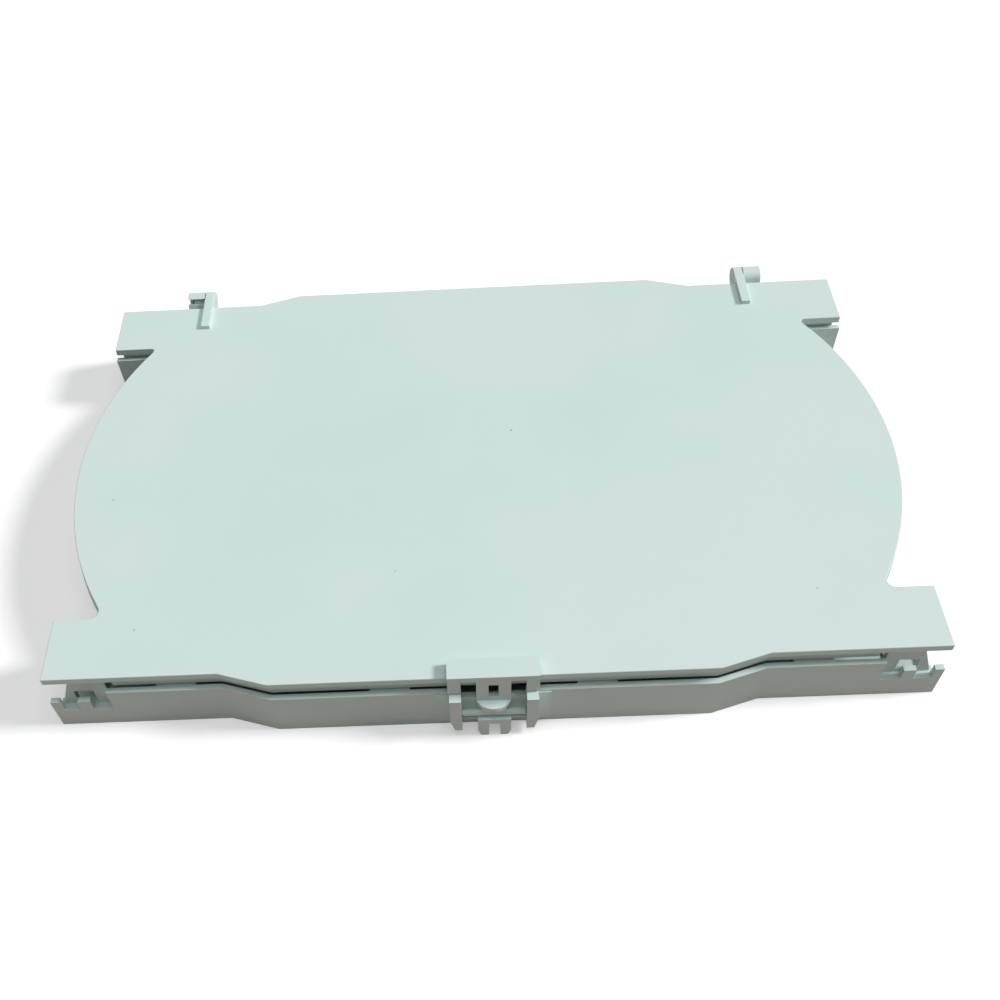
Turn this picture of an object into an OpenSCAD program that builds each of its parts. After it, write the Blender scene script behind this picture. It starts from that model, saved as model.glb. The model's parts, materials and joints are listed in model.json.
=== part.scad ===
// Fibre splice tray: a round-ended tray with four ears, a hinged cover, a snap catch and two splice holders.
// X runs along the tray, the catch is at -Y, the cover's hinge at +Y, and Z = 0 is the underside.

/* [Outline] */
// Width over the ears
tray_w = 271.2; // [250:0.2:300]
// Depth over the ears' front and rear faces
tray_d = 163.8; // [150:0.2:180]
// Depth of each ear, front to rear
ear_d = 22.6; // [20:0.2:26]
// Radius of the two round ends
end_r = 106; // [98:0.2:112]
// How far the round ends pass the ears
end_reach = 2.9; // [1:0.1:6]
// Fillet between a front ear and its round end
front_fillet = 2; // [0.5:0.1:4]
// Fillet between a rear ear and its round end
rear_fillet = 0.6; // [0.5:0.1:4]
// How far the middle of the front and rear stands out
bulge = 4.5; // [2:0.1:6]
// Width of the bulge at its foot
bulge_w = 164; // [150:1:180]
// Width of the bulge at its flat
bulge_flat_w = 133.6; // [110:0.2:140]

/* [Tray] */
// Overall height, cover closed, without the catch
tray_h = 26.3; // [24:0.1:34]
// Thickness of the floor
floor_t = 2; // [1.4:0.1:3]
// Thickness of the walls
wall_t = 1.8; // [1.2:0.1:2.4]
// Gap between the walls' top and the cover's skirt
wall_gap = 2.2; // [1:0.1:3]
// Gap between the front wall's top and the cover's skirt
front_wall_gap = 5; // [4:0.1:6]

/* [Cover] */
// How far the cover's edge stays inside the tray's
cover_inset = 0.6; // [0.4:0.1:1]
// Thickness of the cover's plate
cover_t = 1.8; // [1.2:0.1:2.4]
// Height of the cover's outer skirt, plate included
skirt_h = 2.8; // [2.6:0.1:3.6]
// Thickness of the inner lip
lip_t = 1.4; // [1:0.1:2]
// Gap between the lip and the wall beside it
lip_gap = 0.4; // [0.3:0.1:0.8]
// How far the lip reaches down inside the walls
lip_dip = 1; // [0.5:0.1:1.2]

/* [Ear tabs and ledges] */
// Width of the notch in the front wall, from the ear's end
notch_w = 18.4; // [17:0.1:19]
// Distance from the ear's end to the centre of the locating stub
stub_in = 10.3; // [9.6:0.1:11]
// Width of the locating stub
stub_w = 3.8; // [3:0.1:5]
// Length of wall that stands at the ear's end
end_stub_w = 2.8; // [2:0.1:3.4]
// Height of both stubs
stub_h = 13.7; // [12:0.1:15]
// Height of the ledge on which the tab stands
ledge_h = 9; // [7:0.1:10]
// Gap between the front wall and the tab behind it
tab_gap = 0.8; // [0.5:0.1:1]
// Thickness of the tab
tab_t = 1.8; // [1.4:0.1:2.2]
// Width of the tab under the skirt
tab_top_w = 10.3; // [9:0.1:12]
// Width of the tab at its foot
tab_foot_w = 15.5; // [13:0.1:15.8]
// Gap between the stub and each side of the tab's window
window_side = 1.1; // [0.6:0.1:1.4]
// Gap between the stub's top and the top of the tab's window
window_over = 1.9; // [1:0.1:3]

/* [Tube ports] */
// Length of a cable tie's slot along the tray
tie_slot_l = 4.6; // [4:0.1:6]
// Width of a cable tie's slot
tie_slot_w = 2; // [1.4:0.1:2.6]
// Distance between the two slots of a cable tie
tie_pitch = 9; // [7:0.1:11]
// Distance from the ear's end to the slots
tie_in = 5.4; // [5.2:0.1:7]
// Length of the ribs that bite into the tubes
bite_l = 13; // [8:0.5:13]
// Thickness of a bite rib
bite_t = 1.2; // [0.8:0.1:1.4]
// Height of a bite rib above the floor
bite_h = 0.8; // [0.5:0.1:1.4]

/* [Hinge] */
// How far the hinge and the catch stand out past the ears' faces
reach_out = 9; // [8.8:0.1:12]
// Outer radius of the hinge barrels
barrel_r = 3.7; // [3.2:0.1:4.2]
// Radius of the hinge pins
pin_r = 1.5; // [1.2:0.1:1.8]
// Radial running clearance of all pins
pin_gap = 0.06; // [0.03:0.01:0.1]
// Distance from the ear's end to the outer face of its hinge arm
arm_in = 32; // [28:0.1:38]
// Width of a hinge arm
arm_w = 3.5; // [3:0.1:6]
// Length of a hinge arm over the cover
arm_over = 12.6; // [8:0.2:20]
// Depth of the pin's axis under the cover's top
axis_drop = 2; // [1.5:0.1:2.8]
// Length of a socket barrel
socket_w = 6.4; // [5:0.1:8]
// Thickness of a socket's closed outer end
socket_end_t = 1.4; // [1:0.1:2]
// Height of the bracket's root on the rear wall
bracket_h = 9; // [6:0.1:12]
// Side gap between the moving and the fixed pieces
side_gap = 0.3; // [0.3:0.05:0.6]
// Width of the snap-in slot of the open socket
snap_slot = 1.8; // [1.2:0.1:2.2]

/* [Catch] */
// Width of the catch
catch_w = 27.2; // [24:0.2:32]
// Thickness of its front wall
catch_t = 1.2; // [1:0.1:1.8]
// How far its hook reaches over the cover
hook_reach = 5.3; // [4:0.1:7]
// Thickness of its hook plate
hook_t = 1.8; // [1.4:0.1:2.4]
// Gap between the hook plate and the cover, bridged by the nose
hook_lift = 1.4; // [1:0.1:2]
// Depth of the nose
nose_d = 1.5; // [1:0.1:2]
// Width of the middle tongue
tongue_w = 10.3; // [9:0.1:12]
// Width of each side arm
side_arm_w = 3.9; // [3:0.1:5]
// Width of the hole in the tongue
key_w = 3; // [2.5:0.1:4]
// Height of the hole in the tongue
key_h = 6.7; // [5:0.1:7.4]
// Distance from the hook plate's underside down to that hole
key_drop = 2.7; // [2:0.1:4]
// Height of the strip under the hook plate, above the two windows
lintel_h = 0.7; // [0.4:0.1:1.2]
// Height of the thumb lip's top above the underside
thumb_h = 16.1; // [15.4:0.1:16.8]
// Thickness of the thumb lip
thumb_t = 2; // [1.2:0.1:2.4]
// Width of the neck between the thumb lip and the pivot bar
neck_w = 7.4; // [6:0.1:9]
// Height of the pivot above the underside
pivot_h = 11; // [10.4:0.1:11.6]
// Radius of the pivot bar
pivot_bar_r = 1.1; // [1:0.05:1.3]
// Radius of the pivot pins
pivot_pin_r = 0.9; // [0.8:0.05:1]
// Height of the top of the two legs
leg_h = 20.3; // [19.6:0.1:21.4]
// Width of each leg
leg_w = 3.5; // [3:0.1:5]
// How far the legs stand out from the front wall
leg_reach = 4.2; // [3.8:0.1:5]
// How far the front wall is lowered between the legs
catch_notch = 2.7; // [1.5:0.1:4]
// Thickness of a leg's outer end beyond its bore
leg_end_t = 1.5; // [1:0.1:1.8]
// Width of the slot between the prongs
prong_slot_w = 3.2; // [2.6:0.1:4]
// Width of the pad beside each leg
pad_w = 4; // [2:0.1:6]

/* [Routing] */
// Outer radius of the routing hubs, the least bend of a fibre
hub_r = 38; // [30:0.5:40]
// Width of the channel between a hub and the round end's wall
end_channel_w = 24.7; // [20:0.1:30]
// Height of a hub's wall above the underside
hub_h = 15; // [12:0.5:15.5]
// Width of a hub's mouth, towards the splices
mouth_w = 34.2; // [26:0.2:44]
// Length of a hold-down finger at a hub
hub_finger_l = 6.5; // [4:0.1:9]
// Width of a hold-down finger at a hub
hub_finger_w = 8.4; // [6:0.1:10]
// Length of a hold-down finger at the walls
finger_l = 10; // [7:0.5:14]
// Width of a hold-down finger at the walls
finger_w = 12; // [8:0.5:14]
// Thickness of all hold-down fingers
finger_t = 1.6; // [1.2:0.1:2]
// Distance from the middle to the inner fingers of the long walls
finger_x = 31; // [26:1:44]
// Distance from the ear's end to the outer fingers of the long walls
finger_in = 39.6; // [37:0.2:42]
// Angle between the fingers of a round end
finger_angle = 26; // [20:1:28]
// Radius of the fixing holes in the hubs' bosses
fixing_r = 2.2; // [1.7:0.1:2.7]
// Wall of a fixing hole's boss
boss_t = 2.4; // [1.6:0.1:3]
// Height of a boss above the floor
boss_h = 4; // [3:0.1:6]
// Length of the ribs round a boss
boss_rib_l = 3.6; // [2:0.1:5]

/* [Splice holders] */
// Number of sleeves in one holder
slots = 12; // [8:1:12]
// Width of one slot
slot_w = 3.2; // [2.8:0.1:3.4]
// Thickness of the combs' ribs
rib_t = 1.2; // [1:0.1:1.4]
// Height of the ribs above the holder's plate
rib_h = 7; // [5:0.5:9]
// How far the bead on a rib stands out to each side
bead_out = 0.3; // [0.1:0.05:0.5]
// Length of a holder along the sleeves
holder_l = 38; // [30:1:50]
// Length of each row of ribs
rib_l = 12; // [8:1:14]
// Thickness of the holder's plate
holder_t = 1.4; // [1:0.1:2]
// Gap between the two holders
holder_gap = 7; // [5:0.1:9]
// Radius of the pegs that carry the holders
peg_r = 2; // [1.5:0.1:3]
// Radial clearance of the pegs
peg_gap = 0.05; // [0.03:0.01:0.1]

/* [Hidden] */
$fn = 64;
// How far joined shapes run into each other
join = 0.01;
// How far cuts pass the faces that they open
past = 1;

half_w = tray_w / 2;
half_d = tray_d / 2;
ear_y = half_d - ear_d;
ear_mid_y = half_d - ear_d / 2;
end_x = half_w + end_reach - end_r;
front_y = -half_d - bulge;
bulge_slope = atan(bulge / ((bulge_w - bulge_flat_w) / 2));

skirt_z = tray_h - skirt_h;
wall_h = skirt_z - wall_gap;
front_wall_h = skirt_z - front_wall_gap;
lip_in = wall_t + lip_gap;
lip_back = lip_in + lip_t;
finger_z = front_wall_h - finger_t;

notch_in_x = half_w - notch_w;
stub_x = half_w - stub_in;
tab_side_gap = 0.4;
tab_in_x = notch_in_x + tab_side_gap;
tab_y = -half_d + wall_t + tab_gap;

axis_y = half_d + reach_out - barrel_r;
axis_z = tray_h - axis_drop;
arm_x = half_w - arm_in;
socket_x = arm_x + side_gap;
bracket_drop = 3;
pin_end_gap = 0.5;

hook_z = tray_h + hook_lift;
nose_gap = 0.1;
arm_foot_gap = 0.6;
catch_back_y = front_y - side_gap;
catch_front_y = catch_back_y - catch_t;
thumb_z = thumb_h - thumb_t;
thumb_d = half_d + reach_out + catch_front_y;

pivot_in = 2.2;
pivot_y = catch_back_y - pivot_in;
pivot_end_gap = 0.3;
leg_side_in = 0.35;
leg_x = catch_w / 2 - leg_side_in;
leg_in_x = leg_x - leg_w;
leg_front_y = front_y - leg_reach;
leg_foot_z = 3;
leg_taper = 1.2;
leg_taper_h = 5;
leg_root = 0.5;
foot_bar_z = 4.6;
foot_bar_t = 1.4;
foot_bar_d = 1.5;
prong_top_z = pivot_h - pivot_bar_r - 0.4;
prong_slot_h = prong_top_z - 2.6;
prong_taper = 1;

hub_x = half_w + end_reach - wall_t - end_channel_w - hub_r;
boss_rib_t = 1.2;
pitch = slot_w + rib_t;
holder_w = slots * pitch + rib_t;
holder_y = (holder_w + holder_gap) / 2;
peg_y = holder_w / 3;
peg_over = 0.6;

// The tray's outline, set in by d all round.
module outline(d = 0) {
    yd = half_d - d;
    foot_x = bulge_w / 2 - d * tan(bulge_slope / 2);
    flat_x = bulge_flat_w / 2 - d * tan(bulge_slope / 2);
    intersection() {
        square([2 * (end_x + end_r), 2 * yd], center = true);
        union() {
            for (s = [-1, 1]) translate([s * end_x, 0]) circle(r = end_r - d, $fn = 180);
            square([2 * end_x, 2 * yd], center = true);
        }
    }
    for (s = [-1, 1]) scale([1, s]) {
        polygon([[-foot_x, 0], [foot_x, 0], [foot_x, yd], [flat_x, yd + bulge], [-flat_x, yd + bulge],
            [-foot_x, yd]]);
        translate([-half_w + d, ear_y + d]) square([2 * (half_w - d), ear_d - 2 * d]);
        for (t = [-1, 1]) scale([t, 1]) corner_fillet((s < 0 ? front_fillet : rear_fillet) + d, d);
    }
}

// The fillet of radius r where an ear's inner edge meets the round end, for an outline set in by d.
module corner_fillet(r, d) {
    body_r = end_r - d;
    edge_y = ear_y + d;
    cy = edge_y - r;
    cx = end_x + sqrt((body_r + r) * (body_r + r) - cy * cy);
    touch = (body_r - 2) / (body_r + r);
    difference() {
        polygon([[cx, cy], [cx, edge_y + past], [cx - 3 * r, edge_y + past],
            [end_x + (cx - end_x) * touch, cy * touch]]);
        translate([cx, cy]) circle(r = r, $fn = 48);
    }
}

// A wall that follows the outline, from d to d + t inside it.
module ring(d, t) {
    difference() {
        outline(d);
        outline(d + t);
    }
}

// A profile in Y and Z, drawn from x0 to x1.
module along_x(x0, x1) {
    translate([x0, 0, 0]) rotate([90, 0, 90]) linear_extrude(x1 - x0) children();
}

// A profile in X and Z, drawn from y0 to y1.
module along_y(y0, y1) {
    translate([0, y1, 0]) rotate([90, 0, 0]) linear_extrude(y1 - y0) children();
}

// A pin or a bore along X, from x0 to x1.
module x_cylinder(x0, x1, y, z, r) {
    translate([x0, y, z]) rotate([0, 90, 0]) cylinder(r = r, h = x1 - x0);
}

module both_sides() {
    for (s = [-1, 1]) scale([s, 1, 1]) children();
}

module front_and_rear() {
    for (s = [-1, 1]) scale([1, s, 1]) children();
}

// ---- tray ----

// The front wall is lower than the others. At each ear it steps down to a ledge with two stubs.
module front_wall_cut() {
    stub_x0 = stub_x - stub_w / 2;
    stub_x1 = stub_x + stub_w / 2;
    end_stub_x = half_w - end_stub_w;
    along_y(front_y - past, -half_d + wall_t + past)
        polygon([[-past, front_wall_h], [notch_in_x, front_wall_h], [notch_in_x, ledge_h], [stub_x0, ledge_h],
            [stub_x0, stub_h], [stub_x1, stub_h], [stub_x1, ledge_h], [end_stub_x, ledge_h],
            [end_stub_x, stub_h], [half_w + past, stub_h], [half_w + past, tray_h], [-past, tray_h]]);
}

// The ledge runs behind the notch and carries the cover's tab.
module ledge() {
    x0 = notch_in_x - tab_side_gap;
    translate([x0, -half_d + wall_t - join, floor_t - join])
        cube([half_w - x0, tab_gap + tab_t + join, ledge_h - floor_t + join]);
}

module port_cut() {
    translate([half_w - wall_t - join, ear_y + wall_t, floor_t])
        cube([wall_t + past, ear_d - 2 * wall_t, tray_h]);
}

module tie_slots() {
    for (t = [-1, 1])
        translate([half_w - tie_in - tie_slot_l, ear_mid_y + t * tie_pitch / 2 - tie_slot_w / 2, -past])
            cube([tie_slot_l, tie_slot_w, floor_t + 2 * past]);
}

// Low ribs on both sides of the tie slots bite into the tubes.
module bite_ribs() {
    outer_x = half_w - wall_t - bite_t;
    inner_x = half_w - tie_in - tie_slot_l - 2 * bite_t;
    for (x = [outer_x, inner_x])
        translate([x, ear_mid_y - bite_l / 2, floor_t - join]) cube([bite_t, bite_l, bite_h + join]);
}

// A finger of length l and width w that points along +X from a wall's face, with a round end.
module finger(l, w) {
    root = wall_t / 2;
    linear_extrude(finger_t) intersection() {
        translate([-root, -w / 2]) square([root + l, w]);
        union() {
            translate([l - w / 2, 0]) circle(d = w);
            translate([-w, -w / 2]) square([l + w / 2, w]);
        }
    }
}

module wall_fingers() {
    at = [[finger_x, half_d + bulge - wall_t], [half_w - finger_in, half_d - wall_t]];
    for (p = at) for (s = [-1, 1])
        translate([p.x, s * p.y, finger_z]) rotate([0, 0, -90 * s]) finger(finger_l, finger_w);
    for (i = [-1 : 1])
        translate([end_x, 0, finger_z]) rotate([0, 0, i * finger_angle])
            translate([end_r - wall_t, 0, 0]) rotate([0, 0, 180]) finger(finger_l, finger_w);
}

// A hub keeps the fibre's bend; its mouth opens towards the splices, and fingers stand out round it.
module hub() {
    difference() {
        translate([0, 0, floor_t - join]) linear_extrude(hub_h - floor_t + join) difference() {
            circle(r = hub_r, $fn = 96);
            circle(r = hub_r - wall_t, $fn = 96);
        }
        translate([-hub_r - past, -mouth_w / 2, floor_t]) cube([hub_r, mouth_w, hub_h]);
    }
    for (i = [-2 : 2])
        rotate([0, 0, 45 * i]) translate([hub_r, 0, hub_h - finger_t]) finger(hub_finger_l, hub_finger_w);
}

// The boss of a fixing hole, with six ribs.
module boss() {
    rib_span = 2 * (fixing_r + boss_t + boss_rib_l);
    translate([0, 0, floor_t - join]) cylinder(r = fixing_r + boss_t, h = boss_h + join);
    for (i = [0 : 2])
        rotate([0, 0, 60 * i]) translate([-rib_span / 2, -boss_rib_t / 2, floor_t - join])
            cube([rib_span, boss_rib_t, boss_h - 1 + join]);
}

module holder_pegs() {
    for (s = [-1, 1]) for (t = [-1, 1])
        translate([0, s * holder_y + t * peg_y, floor_t - join])
            cylinder(r = peg_r, h = holder_t + peg_over + join);
}

// Socket barrel on a bracket from the rear wall.
module socket() {
    along_x(socket_x, socket_x + socket_w) hull() {
        translate([axis_y, axis_z]) circle(r = barrel_r, $fn = 32);
        translate([half_d - past, wall_h - bracket_drop - bracket_h]) square([past, bracket_h]);
    }
}

module pin_bore() {
    x_cylinder(socket_x - past, socket_x + socket_w - socket_end_t, axis_y, axis_z, pin_r + pin_gap);
}

// The pin snaps in through this slot, from above and in front.
module snap_cut() {
    translate([socket_x - past, axis_y, axis_z]) rotate([45, 0, 0]) translate([0, -snap_slot / 2, 0])
        cube([socket_w + 2 * past, snap_slot, 2 * barrel_r]);
}

// A leg carries one of the catch's pins, and its foot is tapered.
module leg() {
    along_y(leg_front_y, front_y + leg_root)
        polygon([[leg_in_x, leg_foot_z], [leg_x - leg_taper, leg_foot_z], [leg_x, leg_foot_z + leg_taper_h],
            [leg_x, leg_h], [leg_in_x, leg_h]]);
}

module pivot_bore() {
    x_cylinder(leg_in_x - past, leg_x - leg_end_t, pivot_y, pivot_h, pivot_pin_r + pin_gap);
}

// A thin pad stands on the wall beside each leg.
module pad() {
    translate([leg_x - join, front_y - leg_root, floor_t])
        cube([pad_w + join, leg_root + wall_t / 2, front_wall_h - floor_t - 0.7]);
}

// Two tapered prongs under a bridge, which plug into the catch of the tray below.
module prongs() {
    w = tongue_w / 2 - 0.1;
    k = prong_slot_w / 2;
    along_y(-half_d - reach_out, front_y + leg_root) for (s = [-1, 1]) scale([s, 1])
        polygon([[0, prong_top_z], [w, prong_top_z], [w, leg_foot_z], [w - prong_taper, 0], [k + 0.2, 0],
            [k, prong_slot_h], [0, prong_slot_h]]);
}

// The front wall is lowered between the legs, behind the catch.
module catch_cut() {
    translate([-leg_in_x, front_y - past, front_wall_h - catch_notch])
        cube([2 * leg_in_x, wall_t + past + join, catch_notch + past]);
}

// A bar joins the legs and the prongs near the underside.
module foot_bar() {
    translate([-leg_in_x - join, front_y - foot_bar_d, foot_bar_z])
        cube([2 * (leg_in_x + join), foot_bar_d + leg_root, foot_bar_t]);
}

module base_tray() {
    color([0.80, 0.87, 0.85]) difference() {
        union() {
            linear_extrude(floor_t) outline();
            linear_extrude(wall_h) ring(0, wall_t);
            both_sides() {
                front_and_rear() bite_ribs();
                ledge();
                wall_fingers();
                translate([hub_x, 0, 0]) {
                    hub();
                    boss();
                }
                socket();
                leg();
                pad();
            }
            holder_pegs();
            prongs();
            foot_bar();
        }
        both_sides() {
            front_wall_cut();
            front_and_rear() {
                port_cut();
                tie_slots();
            }
            translate([hub_x, 0, -past]) cylinder(r = fixing_r, h = floor_t + boss_h + 2 * past);
            pin_bore();
            pivot_bore();
        }
        catch_cut();
        scale([-1, 1, 1]) snap_cut();
    }
}

// ---- cover ----

// The locating tab stands on the ledge, and its window clears the stub.
module ear_tab() {
    window_w = stub_w + 2 * window_side;
    window_top = stub_h + window_over;
    top = tray_h - cover_t + join;
    along_y(tab_y, tab_y + tab_t) difference() {
        polygon([[tab_in_x, ledge_h], [tab_in_x + tab_foot_w, ledge_h], [tab_in_x + tab_top_w, skirt_z],
            [tab_in_x + tab_top_w, top], [tab_in_x, top]]);
        translate([stub_x - window_w / 2, ledge_h - past]) square([window_w, window_top - ledge_h + past]);
    }
}

// A hinge arm lies on the cover, turns down behind its edge and carries the pin.
module hinge_arm() {
    edge_y = half_d - cover_inset;
    along_x(arm_x - arm_w, arm_x) {
        translate([half_d - arm_over, tray_h - join])
            square([axis_y - half_d + arm_over, barrel_r - axis_drop + join]);
        translate([edge_y - past, skirt_z]) square([axis_y - edge_y + past, skirt_h]);
        translate([axis_y, axis_z]) circle(r = barrel_r, $fn = 48);
    }
    x_cylinder(arm_x - join, socket_x + socket_w - socket_end_t - pin_end_gap, axis_y, axis_z, pin_r);
}

// The lip hangs inside the walls, lower at the front, and leaves the ears' ports open.
module lip() {
    difference() {
        translate([0, 0, front_wall_h + lip_gap]) linear_extrude(skirt_z - front_wall_h) ring(lip_in, lip_t);
        both_sides() front_and_rear()
            translate([notch_in_x - 2 * past, ear_y + lip_back, 0])
                cube([notch_w + 2 * past, ear_d, skirt_z]);
        translate([-tray_w, lip_back - half_d, 0]) cube([2 * tray_w, tray_d + bulge, wall_h - lip_dip]);
    }
}

module cover() {
    color([0.80, 0.87, 0.85]) union() {
        translate([0, 0, tray_h - cover_t]) linear_extrude(cover_t) outline(cover_inset);
        translate([0, 0, skirt_z]) linear_extrude(skirt_h) ring(cover_inset, lip_back - cover_inset);
        lip();
        both_sides() {
            ear_tab();
            hinge_arm();
        }
    }
}

// ---- catch ----

// The hook plate and its nose, which holds the cover down.
module hook() {
    tip_y = front_y + hook_reach;
    along_x(-catch_w / 2, catch_w / 2) {
        translate([catch_front_y, hook_z]) square([tip_y - catch_front_y, hook_t]);
        translate([tip_y - nose_d, tray_h + nose_gap]) square([nose_d, hook_lift - nose_gap + join]);
    }
}

// The front wall: a strip under the hook plate, a tongue down to the thumb lip, and an arm over each leg.
module catch_wall() {
    arm_z = leg_h + arm_foot_gap;
    along_y(catch_front_y, catch_back_y) {
        translate([-catch_w / 2, hook_z - lintel_h]) square([catch_w, lintel_h + join]);
        translate([-tongue_w / 2, thumb_z]) square([tongue_w, hook_z - thumb_z + join]);
        for (s = [-1, 1]) scale([s, 1])
            translate([catch_w / 2 - side_arm_w, arm_z]) square([side_arm_w, hook_z - arm_z + join]);
    }
}

// The thumb lip is a segment of a disc, as wide as the tongue.
module thumb_lip() {
    r = (tongue_w * tongue_w / 4 + thumb_d * thumb_d) / (2 * thumb_d);
    translate([0, 0, thumb_z]) linear_extrude(thumb_t) intersection() {
        translate([0, catch_front_y - thumb_d + r]) circle(r = r);
        translate([-tongue_w / 2, catch_front_y - thumb_d]) square([tongue_w, thumb_d + catch_t / 2]);
    }
}

// The neck joins the tongue and the thumb lip to the pivot bar.
module neck() {
    neck_front_y = pivot_y - pivot_bar_r;
    along_x(-neck_w / 2, neck_w / 2)
        translate([neck_front_y, pivot_h]) square([catch_back_y - neck_front_y, thumb_z - pivot_h + join]);
}

// The bar between the legs, with the pins at its ends.
module pivot() {
    bar_x = leg_in_x - side_gap;
    pin_x = leg_x - leg_end_t - pivot_end_gap;
    x_cylinder(-bar_x, bar_x, pivot_y, pivot_h, pivot_bar_r);
    x_cylinder(-pin_x, pin_x, pivot_y, pivot_h, pivot_pin_r);
}

module front_catch() {
    color([0.78, 0.85, 0.83]) difference() {
        union() {
            hook();
            catch_wall();
            thumb_lip();
            neck();
            pivot();
        }
        translate([-key_w / 2, catch_front_y - past, hook_z - key_drop - key_h])
            cube([key_w, catch_t + 2 * past, key_h]);
    }
}

// ---- splice holders ----

// One rib of a comb, with a bead along its top that holds a sleeve down.
module rib() {
    translate([-rib_l / 2, 0, 0]) rotate([90, 0, 90]) linear_extrude(rib_l) {
        translate([-rib_t / 2, -join]) square([rib_t, rib_h + join]);
        translate([0, rib_h]) circle(r = rib_t / 2 + bead_out, $fn = 24);
    }
}

module splice_holder() {
    row_x = (holder_l - rib_l) / 2;
    first_rib_y = (rib_t - holder_w) / 2;
    color([0.93, 0.93, 0.90]) difference() {
        union() {
            translate([-holder_l / 2, -holder_w / 2, floor_t]) cube([holder_l, holder_w, holder_t]);
            for (s = [-1, 1]) for (i = [0 : slots])
                translate([s * row_x, first_rib_y + i * pitch, floor_t + holder_t]) rib();
        }
        for (t = [-1, 1]) translate([0, t * peg_y, 0]) cylinder(r = peg_r + peg_gap, h = tray_h);
    }
}

module splice_holder_front() { translate([0, -holder_y, 0]) splice_holder(); }
module splice_holder_rear() { translate([0, holder_y, 0]) splice_holder(); }

base_tray();
cover();
front_catch();
splice_holder_front();
splice_holder_rear();
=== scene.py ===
import json
import math

import bmesh
import bpy
from mathutils import Matrix, Vector


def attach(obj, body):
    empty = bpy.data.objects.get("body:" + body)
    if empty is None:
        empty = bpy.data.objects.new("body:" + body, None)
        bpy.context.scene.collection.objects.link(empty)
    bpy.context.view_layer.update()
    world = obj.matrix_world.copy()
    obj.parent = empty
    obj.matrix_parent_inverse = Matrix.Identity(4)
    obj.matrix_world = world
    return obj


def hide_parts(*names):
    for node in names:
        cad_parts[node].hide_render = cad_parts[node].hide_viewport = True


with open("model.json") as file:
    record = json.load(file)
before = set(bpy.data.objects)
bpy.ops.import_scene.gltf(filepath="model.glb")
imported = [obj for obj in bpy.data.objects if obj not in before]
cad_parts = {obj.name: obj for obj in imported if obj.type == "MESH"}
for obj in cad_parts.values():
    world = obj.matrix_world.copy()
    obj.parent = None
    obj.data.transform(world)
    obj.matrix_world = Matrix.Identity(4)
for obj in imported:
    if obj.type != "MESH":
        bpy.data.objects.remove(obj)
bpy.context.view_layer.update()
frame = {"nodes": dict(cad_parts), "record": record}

MM = 0.001
COVER_TOP_MM = 26.3
KEY_HOLE_HALF_MM = 1.5
PIVOT_Y_MM = -88.9
PIVOT_END_BOX_MM = ((9.2, -90.2, 9.7), (14.0, -87.6, 12.3))
TRAY_EDGE = 0.2 * MM
COVER_EDGE = 0.3 * MM
CATCH_EDGE = 0.2 * MM
HOLDER_EDGE = 0.1 * MM
SHARP = math.radians(40)
FLAT = math.radians(0.5)
SAME_POINT = 0.002 * MM
FLOOR_SIZE = 8
SPECK_COLOUR = (0.10, 0.11, 0.10, 1)


# ---- node helpers ----

def put(tree, kind, inputs=(), **settings):
    """Adds one shader node, with its settings and the values of its inputs."""
    node = tree.nodes.new(kind)
    for key, value in settings.items():
        setattr(node, key, value)
    for key, value in dict(inputs).items():
        if isinstance(value, bpy.types.NodeSocket):
            tree.links.new(value, node.inputs[key])
        else:
            node.inputs[key].default_value = value
    return node


def math_node(tree, operation, a, b=0.0, clamp=False):
    return put(tree, "ShaderNodeMath", {0: a, 1: b}, operation=operation, use_clamp=clamp).outputs[0]


def mix_colours(tree, share, first, second):
    """The colour between first, at share 0, and second, at share 1."""
    return put(tree, "ShaderNodeMix", {0: share, 6: first, 7: second}, data_type="RGBA").outputs[2]


def new_group(name, inputs, outputs):
    """An empty shader node group with named sockets; gives the group, its input node and its output node."""
    group = bpy.data.node_groups.new(name, "ShaderNodeTree")
    for socket, kind, value in inputs:
        made = group.interface.new_socket(socket, in_out="INPUT", socket_type=kind)
        made.default_value = value
    for socket, kind in outputs:
        group.interface.new_socket(socket, in_out="OUTPUT", socket_type=kind)
    return group, group.nodes.new("NodeGroupInput"), group.nodes.new("NodeGroupOutput")


def use_group(tree, group, inputs):
    return put(tree, "ShaderNodeGroup", inputs, node_tree=group)


# ---- effects that the plastics share ----

def make_spark_grain():
    """Fine spark-eroded grain of a mould: two noises of different size, added up as a height."""
    group, given, out = new_group(
        "spark_grain",
        [("Vector", "NodeSocketVector", (0, 0, 0)), ("Size", "NodeSocketFloat", 0.3)],
        [("Height", "NodeSocketFloat")])
    fine_scale = math_node(group, "DIVIDE", 1000.0, given.outputs["Size"])
    fine = put(group, "ShaderNodeTexNoise", {"Vector": given.outputs["Vector"], "Scale": fine_scale,
                                             "Detail": 2.0, "Roughness": 0.6})
    coarse = put(group, "ShaderNodeTexNoise", {"Vector": given.outputs["Vector"],
                                               "Scale": math_node(group, "MULTIPLY", fine_scale, 0.22),
                                               "Detail": 1.0})
    mixed = math_node(group, "ADD", fine.outputs["Fac"],
                      math_node(group, "MULTIPLY", coarse.outputs["Fac"], 0.5))
    group.links.new(mixed, out.inputs["Height"])
    return group


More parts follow.
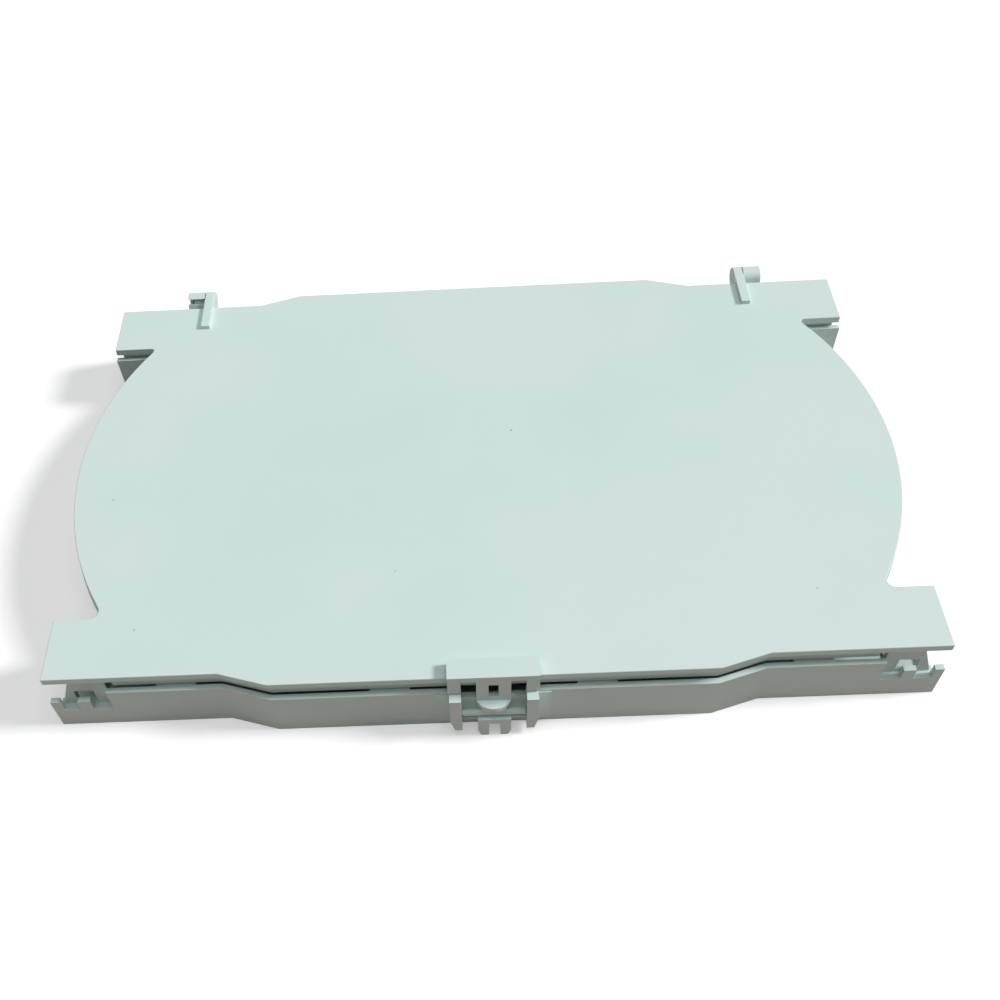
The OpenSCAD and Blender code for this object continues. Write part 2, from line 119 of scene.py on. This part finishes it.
def make_flow_tint():
    """Slow drift of the plastic's colour, as the melt leaves it: a large noise mixes two close tones."""
    group, given, out = new_group(
        "flow_tint",
        [("Vector", "NodeSocketVector", (0, 0, 0)), ("Tone", "NodeSocketColor", (1, 1, 1, 1)),
         ("Drift", "NodeSocketColor", (1, 1, 1, 1)), ("Size", "NodeSocketFloat", 60.0)],
        [("Color", "NodeSocketColor"), ("Drift mask", "NodeSocketFloat")])
    scale = math_node(group, "DIVIDE", 1000.0, given.outputs["Size"])
    cloud = put(group, "ShaderNodeTexNoise", {"Vector": given.outputs["Vector"], "Scale": scale, "Detail": 3.0,
                                              "Roughness": 0.45})
    soft = put(group, "ShaderNodeMapRange", {"Value": cloud.outputs["Fac"], "From Min": 0.3, "From Max": 0.7},
               interpolation_type="SMOOTHSTEP")
    mixed = mix_colours(group, soft.outputs["Result"], given.outputs["Tone"], given.outputs["Drift"])
    group.links.new(mixed, out.inputs["Color"])
    group.links.new(soft.outputs["Result"], out.inputs["Drift mask"])
    return group


def make_hairlines():
    """Faint handling scratches: a noise stretched along a turned axis, cut to its thin crests."""
    group, given, out = new_group(
        "hairlines",
        [("Vector", "NodeSocketVector", (0, 0, 0)), ("Turn", "NodeSocketFloat", 0.4),
         ("Amount", "NodeSocketFloat", 0.5)],
        [("Mask", "NodeSocketFloat")])
    turned = put(group, "ShaderNodeVectorRotate", {"Vector": given.outputs["Vector"],
                                                   "Angle": given.outputs["Turn"]}, rotation_type="Z_AXIS")
    stretched = put(group, "ShaderNodeVectorMath", {0: turned.outputs[0], 1: (14.0, 900.0, 60.0)},
                    operation="MULTIPLY")
    lines = put(group, "ShaderNodeTexNoise", {"Vector": stretched.outputs[0], "Scale": 1.0, "Detail": 1.0})
    crest = put(group, "ShaderNodeMapRange", {"Value": lines.outputs["Fac"], "From Min": 0.68,
                                              "From Max": 0.76})
    patches = put(group, "ShaderNodeTexNoise", {"Vector": given.outputs["Vector"], "Scale": 22.0})
    where = put(group, "ShaderNodeMapRange", {"Value": patches.outputs["Fac"], "From Min": 0.5,
                                              "From Max": 0.62})
    both = math_node(group, "MULTIPLY", crest.outputs["Result"], where.outputs["Result"])
    group.links.new(math_node(group, "MULTIPLY", both, given.outputs["Amount"], clamp=True), out.inputs["Mask"])
    return group


def make_speck():
    """One small dark inclusion: a soft round spot about a given centre, in metres."""
    group, given, out = new_group(
        "speck",
        [("Vector", "NodeSocketVector", (0, 0, 0)), ("Centre", "NodeSocketVector", (0, 0, 0)),
         ("Radius", "NodeSocketFloat", 0.0003), ("Depth", "NodeSocketFloat", 0.5)],
        [("Mask", "NodeSocketFloat")])
    away = put(group, "ShaderNodeVectorMath", {0: given.outputs["Vector"], 1: given.outputs["Centre"]},
               operation="DISTANCE")
    share = math_node(group, "DIVIDE", away.outputs["Value"], given.outputs["Radius"])
    spot = put(group, "ShaderNodeMapRange", {"Value": share, "From Min": 1.0, "From Max": 0.4},
               interpolation_type="SMOOTHSTEP")
    group.links.new(math_node(group, "MULTIPLY", spot.outputs["Result"], given.outputs["Depth"]),
                    out.inputs["Mask"])
    return group


SPARK_GRAIN = make_spark_grain()
FLOW_TINT = make_flow_tint()
HAIRLINES = make_hairlines()
SPECK = make_speck()


# ---- materials ----

def moulded_plastic(name, tone, drift, roughness=0.42, grain_mm=0.3, grain_depth=0.02, marks=0.5, specks=()):
    """Injection-moulded plastic: a drifting tone, spark grain, faint hairlines and a few dark inclusions."""
    mat = bpy.data.materials.new(name)
    mat.use_nodes = True
    tree = mat.node_tree
    shader = tree.nodes["Principled BSDF"]
    shader.inputs["Specular IOR Level"].default_value = 0.45
    place = put(tree, "ShaderNodeTexCoord").outputs["Object"]
    tint = use_group(tree, FLOW_TINT, {"Vector": place, "Tone": (*tone, 1), "Drift": (*drift, 1)})
    colour = tint.outputs["Color"]
    for centre, radius, depth in specks:
        spot = use_group(tree, SPECK, {"Vector": place, "Centre": centre, "Radius": radius, "Depth": depth})
        colour = mix_colours(tree, spot.outputs["Mask"], colour, SPECK_COLOUR)
    tree.links.new(colour, shader.inputs["Base Color"])

    lines = use_group(tree, HAIRLINES, {"Vector": place, "Amount": marks})
    rough = math_node(tree, "ADD", math_node(tree, "MULTIPLY", tint.outputs["Drift mask"], 0.06),
                      math_node(tree, "MULTIPLY", lines.outputs["Mask"], 0.12))
    tree.links.new(math_node(tree, "ADD", rough, roughness), shader.inputs["Roughness"])

    grain = use_group(tree, SPARK_GRAIN, {"Vector": place, "Size": grain_mm})
    height = math_node(tree, "SUBTRACT", grain.outputs["Height"],
                       math_node(tree, "MULTIPLY", lines.outputs["Mask"], 0.6))
    bump = put(tree, "ShaderNodeBump", {"Height": height, "Distance": grain_depth * MM, "Strength": 1.0})
    tree.links.new(bump.outputs["Normal"], shader.inputs["Normal"])
    return mat


SPECKS_ON_COVER = [
    (Vector((x, y, COVER_TOP_MM)) * MM, radius * MM, depth)
    for x, y, radius, depth in ((10.7, 10.9, 0.6, 0.5), (-124.0, -12.8, 0.5, 0.4), (-29.0, -46.6, 0.4, 0.35),
                                (99.8, -59.3, 0.45, 0.35), (-109.0, -64.7, 0.5, 0.4))
]

COVER_PLASTIC = moulded_plastic("cover_plastic", (0.578, 0.701, 0.672), (0.600, 0.716, 0.696),
                                specks=SPECKS_ON_COVER)
TRAY_PLASTIC = moulded_plastic("tray_plastic", (0.570, 0.690, 0.655), (0.590, 0.702, 0.672))
CATCH_PLASTIC = moulded_plastic("catch_plastic", (0.575, 0.698, 0.668), (0.592, 0.708, 0.684), grain_mm=0.25)
HOLDER_PLASTIC = moulded_plastic("holder_plastic", (0.80, 0.80, 0.76), (0.76, 0.76, 0.71), roughness=0.5)


# ---- rounded mouldings ----

def flat_faces(node, cuts):
    """A merged copy of a CAD node's surface, with its coplanar triangles joined to faces.

    Each cut (axis, mm) leaves a seam across the flat faces, so that no joined face runs round a hole.
    """
    mesh = bmesh.new()
    mesh.from_mesh(frame["nodes"][node].data)
    bmesh.ops.remove_doubles(mesh, verts=mesh.verts, dist=SAME_POINT)
    for axis, at in cuts:
        normal = Vector([float(i == axis) for i in range(3)])
        made = bmesh.ops.bisect_plane(mesh, geom=mesh.verts[:] + mesh.edges[:] + mesh.faces[:],
                                      plane_co=normal * at * MM, plane_no=normal, dist=0.001 * MM)
        for piece in made["geom_cut"]:
            if isinstance(piece, bmesh.types.BMEdge):
                piece.seam = True
    bmesh.ops.dissolve_limit(mesh, angle_limit=FLAT, use_dissolve_boundaries=False,
                             verts=mesh.verts, edges=mesh.edges, delimit={"SEAM"})
    return mesh


def mark_edges(mesh, crisp):
    """Weights the sharp edges, which get a radius, apart from those in the crisp box (lo, hi), in mm."""
    weight = mesh.edges.layers.float.new("bevel_weight_edge")
    for edge in mesh.edges:
        middle = (edge.verts[0].co + edge.verts[1].co) / 2 / MM
        place = (abs(middle.x), middle.y, middle.z)
        inside = crisp and all(lo <= v <= hi for lo, v, hi in zip(crisp[0], place, crisp[1]))
        edge[weight] = float(edge.calc_face_angle(0.0) > SHARP and not inside)


def moulding(name, node, material, radius, cuts=(), crisp=None):
    """A CAD node with the small edge radius of a moulding: its sharp edges are bevelled."""
    mesh = flat_faces(node, cuts)
    mark_edges(mesh, crisp)
    data = bpy.data.meshes.new(name)
    mesh.to_mesh(data)
    mesh.free()
    data.materials.append(material)
    piece = bpy.data.objects.new(name, data)
    bpy.context.scene.collection.objects.link(piece)
    data.shade_smooth()
    bevel = piece.modifiers.new("edge_radius", "BEVEL")
    bevel.width = radius
    bevel.segments = 2
    bevel.limit_method = "WEIGHT"
    bevel.use_clamp_overlap = True
    flats = piece.modifiers.new("even_flats", "WEIGHTED_NORMAL")
    flats.mode = "FACE_AREA"
    flats.keep_sharp = True
    body = next(b for b, members in frame["record"]["behaviour"]["bodies"].items() if node in members)
    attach(piece, body)
    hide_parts(node)
    return piece


moulding("tray_moulding", "base_tray", TRAY_PLASTIC, TRAY_EDGE)
moulding("cover_moulding", "cover", COVER_PLASTIC, COVER_EDGE)
moulding("catch_moulding", "front_catch", CATCH_PLASTIC, CATCH_EDGE,
         cuts=((0, -KEY_HOLE_HALF_MM), (0, KEY_HOLE_HALF_MM), (1, PIVOT_Y_MM)), crisp=PIVOT_END_BOX_MM)
moulding("front_holder_moulding", "splice_holder_front", HOLDER_PLASTIC, HOLDER_EDGE)
moulding("rear_holder_moulding", "splice_holder_rear", HOLDER_PLASTIC, HOLDER_EDGE)


# ---- floor, light and camera ----

def seen_as_white(tree, lit, white):
    """The lit shader for bounced light, and the white one where the eye or a reflection meets it."""
    path = put(tree, "ShaderNodeLightPath").outputs
    seen = math_node(tree, "MAXIMUM", path["Is Camera Ray"],
                     math_node(tree, "MAXIMUM", path["Is Glossy Ray"], path["Is Transmission Ray"]))
    return put(tree, "ShaderNodeMixShader", {0: seen, 1: lit, 2: white}).outputs[0]


def make_floor():
    """A plain floor: warm for the light that it throws back, pale to the eye, and it keeps the shadow."""
    bpy.ops.mesh.primitive_plane_add(size=FLOOR_SIZE)
    floor = bpy.context.object
    floor.name = "floor"
    mat = bpy.data.materials.new("floor")
    mat.use_nodes = True
    tree = mat.node_tree
    tree.nodes.remove(tree.nodes["Principled BSDF"])
    warm = put(tree, "ShaderNodeBsdfDiffuse", {"Color": (0.36, 0.27, 0.23, 1)}).outputs[0]
    pale = put(tree, "ShaderNodeBsdfDiffuse", {"Color": (0.78, 0.78, 0.78, 1)}).outputs[0]
    lift = put(tree, "ShaderNodeEmission", {"Color": (1, 1, 1, 1), "Strength": 0.32}).outputs[0]
    white = put(tree, "ShaderNodeAddShader", {0: pale, 1: lift}).outputs[0]
    tree.links.new(seen_as_white(tree, warm, white), tree.nodes["Material Output"].inputs["Surface"])
    floor.data.materials.append(mat)


def make_world(strength):
    """Even light from all round at this strength, behind a white that only the eye and reflections meet."""
    world = bpy.data.worlds.new("studio")
    bpy.context.scene.world = world
    world.use_nodes = True
    tree = world.node_tree
    soft = put(tree, "ShaderNodeBackground", {"Color": (0.94, 0.98, 1.0, 1), "Strength": strength}).outputs[0]
    white = put(tree, "ShaderNodeBackground", {"Color": (1, 1, 1, 1), "Strength": 1.0}).outputs[0]
    tree.links.new(seen_as_white(tree, soft, white), tree.nodes["World Output"].inputs["Surface"])


def even_light(name, towards, level, softness):
    """An even studio light from a direction; level is the share of plain light on a surface that faces it."""
    light = bpy.data.lights.new(name, "SUN")
    lamp = bpy.data.objects.new(name, light)
    bpy.context.scene.collection.objects.link(lamp)
    lamp.rotation_euler = Vector(towards).to_track_quat("Z", "Y").to_euler()
    light.angle = math.radians(softness)
    light.energy = level * math.pi


def make_camera():
    """Looks down at the front: turned, raised and rolled about the fitted target."""
    turn, rise, roll = 0.0430865, 0.8979368, -0.0757841
    target = Vector((-15.44, -21.41, 26.3)) * MM
    distance = 371.6 * MM
    back = Vector((math.sin(turn) * math.cos(rise), -math.cos(turn) * math.cos(rise), math.sin(rise)))
    right = (-back).cross(Vector((0, 0, 1))).normalized()
    up = right.cross(-back)
    side = math.cos(roll) * right + math.sin(roll) * up
    top = -math.sin(roll) * right + math.cos(roll) * up
    data = bpy.data.cameras.new("camera")
    camera = bpy.data.objects.new("camera", data)
    bpy.context.scene.collection.objects.link(camera)
    camera.matrix_world = Matrix.Translation(target + distance * back) @ Matrix(
        (side, top, back)).transposed().to_4x4()
    data.sensor_width = 36.0
    data.lens = 40.80
    data.shift_x = 0.0631
    data.shift_y = 0.0065
    data.clip_start = 0.01
    bpy.context.scene.camera = camera


make_floor()
make_world(0.12)
even_light("overhead", (0.0, -0.05, 1.0), 0.35, 50)
even_light("right", (0.786, 0.055, 0.616), 0.88, 14)
make_camera()
bpy.context.scene.view_settings.view_transform = "Standard"
